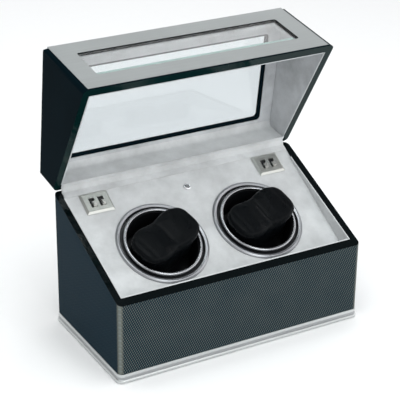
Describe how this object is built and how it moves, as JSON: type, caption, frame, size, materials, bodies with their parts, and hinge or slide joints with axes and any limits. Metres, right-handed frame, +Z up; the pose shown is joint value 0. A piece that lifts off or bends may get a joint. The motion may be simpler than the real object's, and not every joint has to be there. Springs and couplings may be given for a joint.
{
  "type": "watch winder box",
  "caption": "Watch winder box with an open glazed lid, a slanted suede deck with motor-turned cushions in round cups, slide switches and a metal plinth.",
  "frame": {"origin": "centre of the underside, on the surface the box stands on", "axes": "+X to the right of someone facing the box's front, +Y to the back, +Z up"},
  "size_m": [0.3236, 0.2069, 0.3389],
  "materials": {
    "case_wrap": "satin",
    "lid_lacquer": "gloss",
    "plinth_metal": "polished",
    "fascia_metal": "satin",
    "suede": "matte",
    "deck_suede": "matte",
    "board": "matte",
    "felt": "matte",
    "gunmetal": "satin",
    "chrome_trim": "polished",
    "cup_plastic": "satin",
    "cushion_leather": "satin",
    "nickel": "satin",
    "black_plastic": "satin",
    "grey_plastic": "matte",
    "pane": "gloss",
    "lens": "gloss",
    "steel": "satin",
    "brass": "satin",
    "belt_rubber": "matte",
    "circuit_board": "satin"
  },
  "bodies": {
    "base": {"case_body": "case_wrap", "plinth_trim": "plinth_metal", "bottom_panel": "board", "base_felt": "felt", "deck_panel": "deck_suede", "base_lining_left": "suede", "base_lining_right": "suede", "base_lining_front": "suede", "hinge_gusset": "suede", "bezel_ring_left": "gunmetal", "bezel_ring_right": "gunmetal", "bearing_bush_left": "brass", "bearing_bush_right": "brass", "gearmotor_left": "steel", "gearmotor_right": "steel", "drive_belt_left": "belt_rubber", "drive_belt_right": "belt_rubber", "winder_chassis": "grey_plastic", "control_board": "circuit_board", "power_socket": "black_plastic", "switch_plate_left": "nickel", "switch_plate_right": "nickel", "switch_module_left": "black_plastic", "switch_module_right": "black_plastic", "lamp_bezel": "chrome_trim", "lamp_lens": "lens", "hinge_leaf_base_left": "brass", "hinge_leaf_base_right": "brass", "hinge_pin_left": "steel", "hinge_pin_right": "steel"},
    "lid": {"lid_shell": "lid_lacquer", "fascia_plate": "fascia_metal", "fascia_glass": "pane", "fascia_glass_bead": "lid_lacquer", "window_glass": "pane", "window_bead": "lid_lacquer", "lid_lining_left": "suede", "lid_lining_right": "suede", "lid_lining_top": "suede", "lid_lining_front": "suede", "lid_lining_back": "suede", "hinge_leaf_lid_left": "brass", "hinge_leaf_lid_right": "brass"},
    "turntable_left": {"cup_left": "cup_plastic", "cup_ring_left": "chrome_trim", "spindle_left": "steel", "driven_pulley_left": "grey_plastic"},
    "cushion_left": {"cushion_left": "cushion_leather"},
    "motor_pulley_left": {"motor_pulley_left": "brass"},
    "turntable_right": {"cup_right": "cup_plastic", "cup_ring_right": "chrome_trim", "spindle_right": "steel", "driven_pulley_right": "grey_plastic"},
    "cushion_right": {"cushion_right": "cushion_leather"},
    "motor_pulley_right": {"motor_pulley_right": "brass"},
    "direction_slider_left": {"direction_slider_left": "nickel"},
    "program_slider_left": {"program_slider_left": "nickel"},
    "program_slider_right": {"program_slider_right": "nickel"},
    "direction_slider_right": {"direction_slider_right": "nickel"}
  },
  "joints": [
    {"name": "lid_hinge", "type": "hinge", "parent": "base", "child": "lid", "pos_m": [0, 0.083, 0.169], "axis": [1, 0, 0], "range_deg": [0, 82]},
    {"name": "turntable_left_spin", "type": "hinge", "parent": "base", "child": "turntable_left", "pos_m": [-0.064, -0.00485, 0.1187], "axis": [0, -0.5, 0.866], "continuous": true},
    {"name": "motor_pulley_left_spin", "type": "hinge", "parent": "base", "child": "motor_pulley_left", "pos_m": [-0.022, -0.00485, 0.1187], "axis": [0, -0.5, 0.866], "continuous": true},
    {"name": "cushion_left_lift", "type": "slide", "parent": "turntable_left", "child": "cushion_left", "axis": [0, -0.5, 0.866], "range_m": [0, 0.045]},
    {"name": "turntable_right_spin", "type": "hinge", "parent": "base", "child": "turntable_right", "pos_m": [0.064, -0.00485, 0.1187], "axis": [0, -0.5, 0.866], "continuous": true},
    {"name": "motor_pulley_right_spin", "type": "hinge", "parent": "base", "child": "motor_pulley_right", "pos_m": [0.022, -0.00485, 0.1187], "axis": [0, -0.5, 0.866], "continuous": true},
    {"name": "cushion_right_lift", "type": "slide", "parent": "turntable_right", "child": "cushion_right", "axis": [0, -0.5, 0.866], "range_m": [0, 0.045]},
    {"name": "direction_slider_left_move", "type": "slide", "parent": "base", "child": "direction_slider_left", "axis": [0, 0.866, 0.5], "range_m": [0, 0.005]},
    {"name": "program_slider_left_move", "type": "slide", "parent": "base", "child": "program_slider_left", "axis": [0, 0.866, 0.5], "range_m": [0, 0.005]},
    {"name": "program_slider_right_move", "type": "slide", "parent": "base", "child": "program_slider_right", "axis": [0, 0.866, 0.5], "range_m": [0, 0.005]},
    {"name": "direction_slider_right_move", "type": "slide", "parent": "base", "child": "direction_slider_right", "axis": [0, 0.866, 0.5], "range_m": [0, 0.005]}
  ],
  "couplings": [
    {"joint": "motor_pulley_left_spin", "follows": "turntable_left_spin", "ratio": 4},
    {"joint": "motor_pulley_right_spin", "follows": "turntable_right_spin", "ratio": 4}
  ]
}
